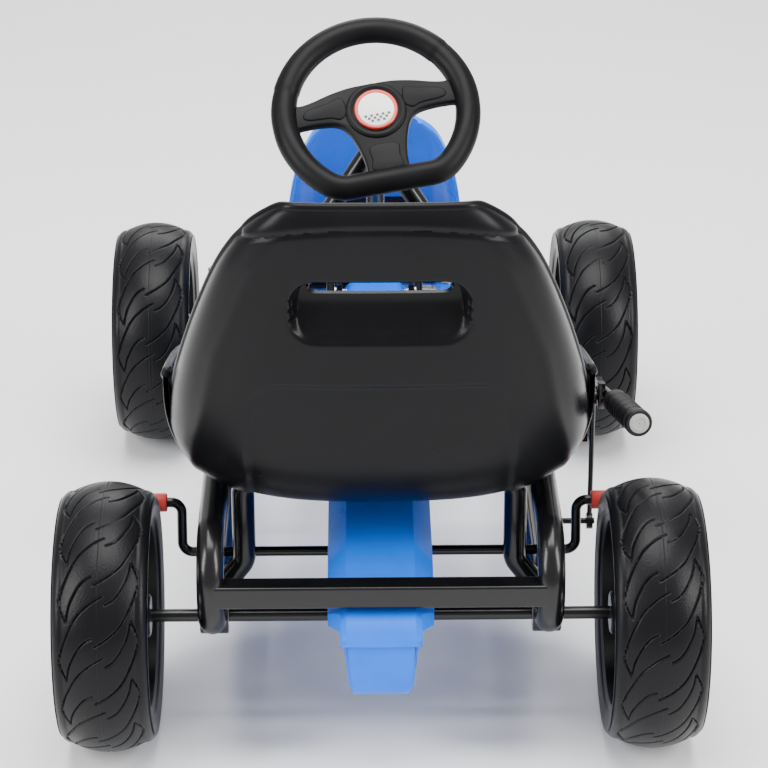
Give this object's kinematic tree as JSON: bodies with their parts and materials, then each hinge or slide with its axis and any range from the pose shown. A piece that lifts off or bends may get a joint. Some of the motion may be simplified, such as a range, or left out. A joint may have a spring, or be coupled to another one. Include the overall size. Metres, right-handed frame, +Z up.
{
  "type": "pedal go kart",
  "caption": "Child's pedal go kart: tube frame, bucket seat, chain drive to the rear axle, column steering and a hand brake on the rear tyres.",
  "frame": {"origin": "on the floor under the middle of the kart's length and width", "axes": "+X to the rider's right, +Y forward, +Z up"},
  "size_m": [0.588, 0.978, 0.5778],
  "materials": {
    "frame_paint": "glossy black powder coat",
    "nylon": "natural nylon",
    "seat_plastic": "satin blow-moulded black plastic",
    "zinc": "zinc plated",
    "chrome_nut": "bright plated",
    "blue_plastic": "semi-gloss blue plastic",
    "chain_steel": "oiled steel",
    "tyre_foam": "satin foam rubber",
    "rim_plastic": "semi-gloss black plastic",
    "pedal_plastic": "matte black plastic",
    "wheel_plastic": "textured black plastic",
    "badge": "printed label under gloss",
    "grip_rubber": "matte black rubber",
    "pad_rubber": "red rubber"
  },
  "bodies": {
    "frame": {"side_loop_left": "frame_paint", "side_loop_right": "frame_paint", "lower_rail_left": "frame_paint", "lower_rail_right": "frame_paint", "rear_cross_bar": "frame_paint", "seat_hoop": "frame_paint", "seat_cross_bar": "frame_paint", "floor_cross_bar": "frame_paint", "front_beam": "frame_paint", "kingpin_sleeves": "frame_paint", "strut_left": "frame_paint", "strut_right": "frame_paint", "column_tube": "frame_paint", "column_foot": "frame_paint", "crank_plates": "frame_paint", "bumper": "frame_paint", "bearing_cups": "frame_paint", "frame_bushes": "nylon", "seat": "seat_plastic", "seat_bolts": "zinc", "upper_cover": "blue_plastic", "lower_cover": "blue_plastic", "trim_screws": "zinc", "chain": "chain_steel", "fairing": "blue_plastic", "fairing_stay": "frame_paint", "brake_brackets": "frame_paint"},
    "rear_axle_set": {"rear_axle": "frame_paint", "rear_tyre_left": "tyre_foam", "rear_tyre_right": "tyre_foam", "rear_rim_left": "rim_plastic", "rear_rim_right": "rim_plastic", "rear_caps": "blue_plastic", "rear_sprocket": "chain_steel", "rear_axle_nuts": "chrome_nut"},
    "crank_set": {"crankshaft": "zinc", "crank_sprocket": "chain_steel"},
    "left_pedal": {"pedal_left": "pedal_plastic"},
    "right_pedal": {"pedal_right": "pedal_plastic"},
    "steering_set": {"steering_column": "frame_paint", "steering_wheel": "wheel_plastic", "wheel_badge": "badge"},
    "left_knuckle": {"knuckle_left": "frame_paint", "knuckle_nuts_left": "chrome_nut"},
    "right_knuckle": {"knuckle_right": "frame_paint", "knuckle_nuts_right": "chrome_nut"},
    "left_front_wheel": {"front_tyre_left": "tyre_foam", "front_rim_left": "rim_plastic", "front_cap_left": "blue_plastic"},
    "right_front_wheel": {"front_tyre_right": "tyre_foam", "front_rim_right": "rim_plastic", "front_cap_right": "blue_plastic"},
    "left_tie_rod": {"tie_rod_left": "zinc"},
    "right_tie_rod": {"tie_rod_right": "zinc"},
    "lever": {"brake_lever": "frame_paint", "lever_grip": "grip_rubber"},
    "link": {"brake_link": "frame_paint"},
    "brake": {"brake_bar": "frame_paint", "brake_pads": "pad_rubber"}
  },
  "joints": [
    {"name": "rear_axle_spin", "type": "hinge", "parent": "frame", "child": "rear_axle_set", "pos_m": [0, -0.364, 0.125], "axis": [-1, 0, 0], "continuous": true},
    {"name": "crank_spin", "type": "hinge", "parent": "frame", "child": "crank_set", "pos_m": [0, 0.166, 0.185], "axis": [-1, 0, 0], "continuous": true},
    {"name": "pedal_left_spin", "type": "hinge", "parent": "crank_set", "child": "left_pedal", "pos_m": [-0.104, 0.081, 0.185], "axis": [1, 0, 0], "continuous": true},
    {"name": "pedal_right_spin", "type": "hinge", "parent": "crank_set", "child": "right_pedal", "pos_m": [0.104, 0.251, 0.185], "axis": [1, 0, 0], "continuous": true},
    {"name": "steering_turn", "type": "hinge", "parent": "frame", "child": "steering_set", "pos_m": [0, -0.024, 0.501], "axis": [0, -0.7071, 0.7071], "range_deg": [-27, 27]},
    {"name": "knuckle_left_turn", "type": "hinge", "parent": "frame", "child": "left_knuckle", "pos_m": [-0.1795, 0.316, 0.164], "axis": [0, 0, 1], "range_deg": [-16.2, 16.2]},
    {"name": "front_left_spin", "type": "hinge", "parent": "left_knuckle", "child": "left_front_wheel", "pos_m": [-0.251, 0.316, 0.125], "axis": [-1, 0, 0], "continuous": true},
    {"name": "tie_rod_left_turn", "type": "hinge", "parent": "left_knuckle", "child": "left_tie_rod", "pos_m": [-0.1795, 0.38, 0.148], "axis": [0, 0, 1], "range_deg": [-16.2, 16.2]},
    {"name": "knuckle_right_turn", "type": "hinge", "parent": "frame", "child": "right_knuckle", "pos_m": [0.1795, 0.316, 0.164], "axis": [0, 0, 1], "range_deg": [-16.2, 16.2]},
    {"name": "front_right_spin", "type": "hinge", "parent": "right_knuckle", "child": "right_front_wheel", "pos_m": [0.251, 0.316, 0.125], "axis": [-1, 0, 0], "continuous": true},
    {"name": "tie_rod_right_turn", "type": "hinge", "parent": "right_knuckle", "child": "right_tie_rod", "pos_m": [0.1795, 0.38, 0.148], "axis": [0, 0, 1], "range_deg": [-16.2, 16.2]},
    {"name": "brake_lever_pull", "type": "hinge", "parent": "frame", "child": "lever", "pos_m": [0.215, -0.17, 0.264], "axis": [-1, 0, 0], "range_deg": [0, 15], "stiffness_Nm_per_rad": 2, "springref_deg": -28.65},
    {"name": "brake_link_slide", "type": "slide", "parent": "frame", "child": "link", "axis": [0, 0, 1], "range_m": [0, 0.0045]},
    {"name": "brake_bar_turn", "type": "hinge", "parent": "frame", "child": "brake", "pos_m": [0, -0.246, 0.13], "axis": [1, 0, 0], "range_deg": [0, 4.2]}
  ],
  "couplings": [
    {"joint": "crank_spin", "follows": "rear_axle_spin", "ratio": 0.5},
    {"joint": "knuckle_left_turn", "follows": "steering_turn", "ratio": 0.6},
    {"joint": "knuckle_right_turn", "follows": "steering_turn", "ratio": 0.6},
    {"joint": "tie_rod_left_turn", "follows": "steering_turn", "ratio": -0.6},
    {"joint": "tie_rod_right_turn", "follows": "steering_turn", "ratio": -0.6},
    {"joint": "brake_link_slide", "follows": "brake_lever_pull", "m_per_rad": 0.016},
    {"joint": "brake_bar_turn", "follows": "brake_lever_pull", "ratio": 0.26667}
  ]
}
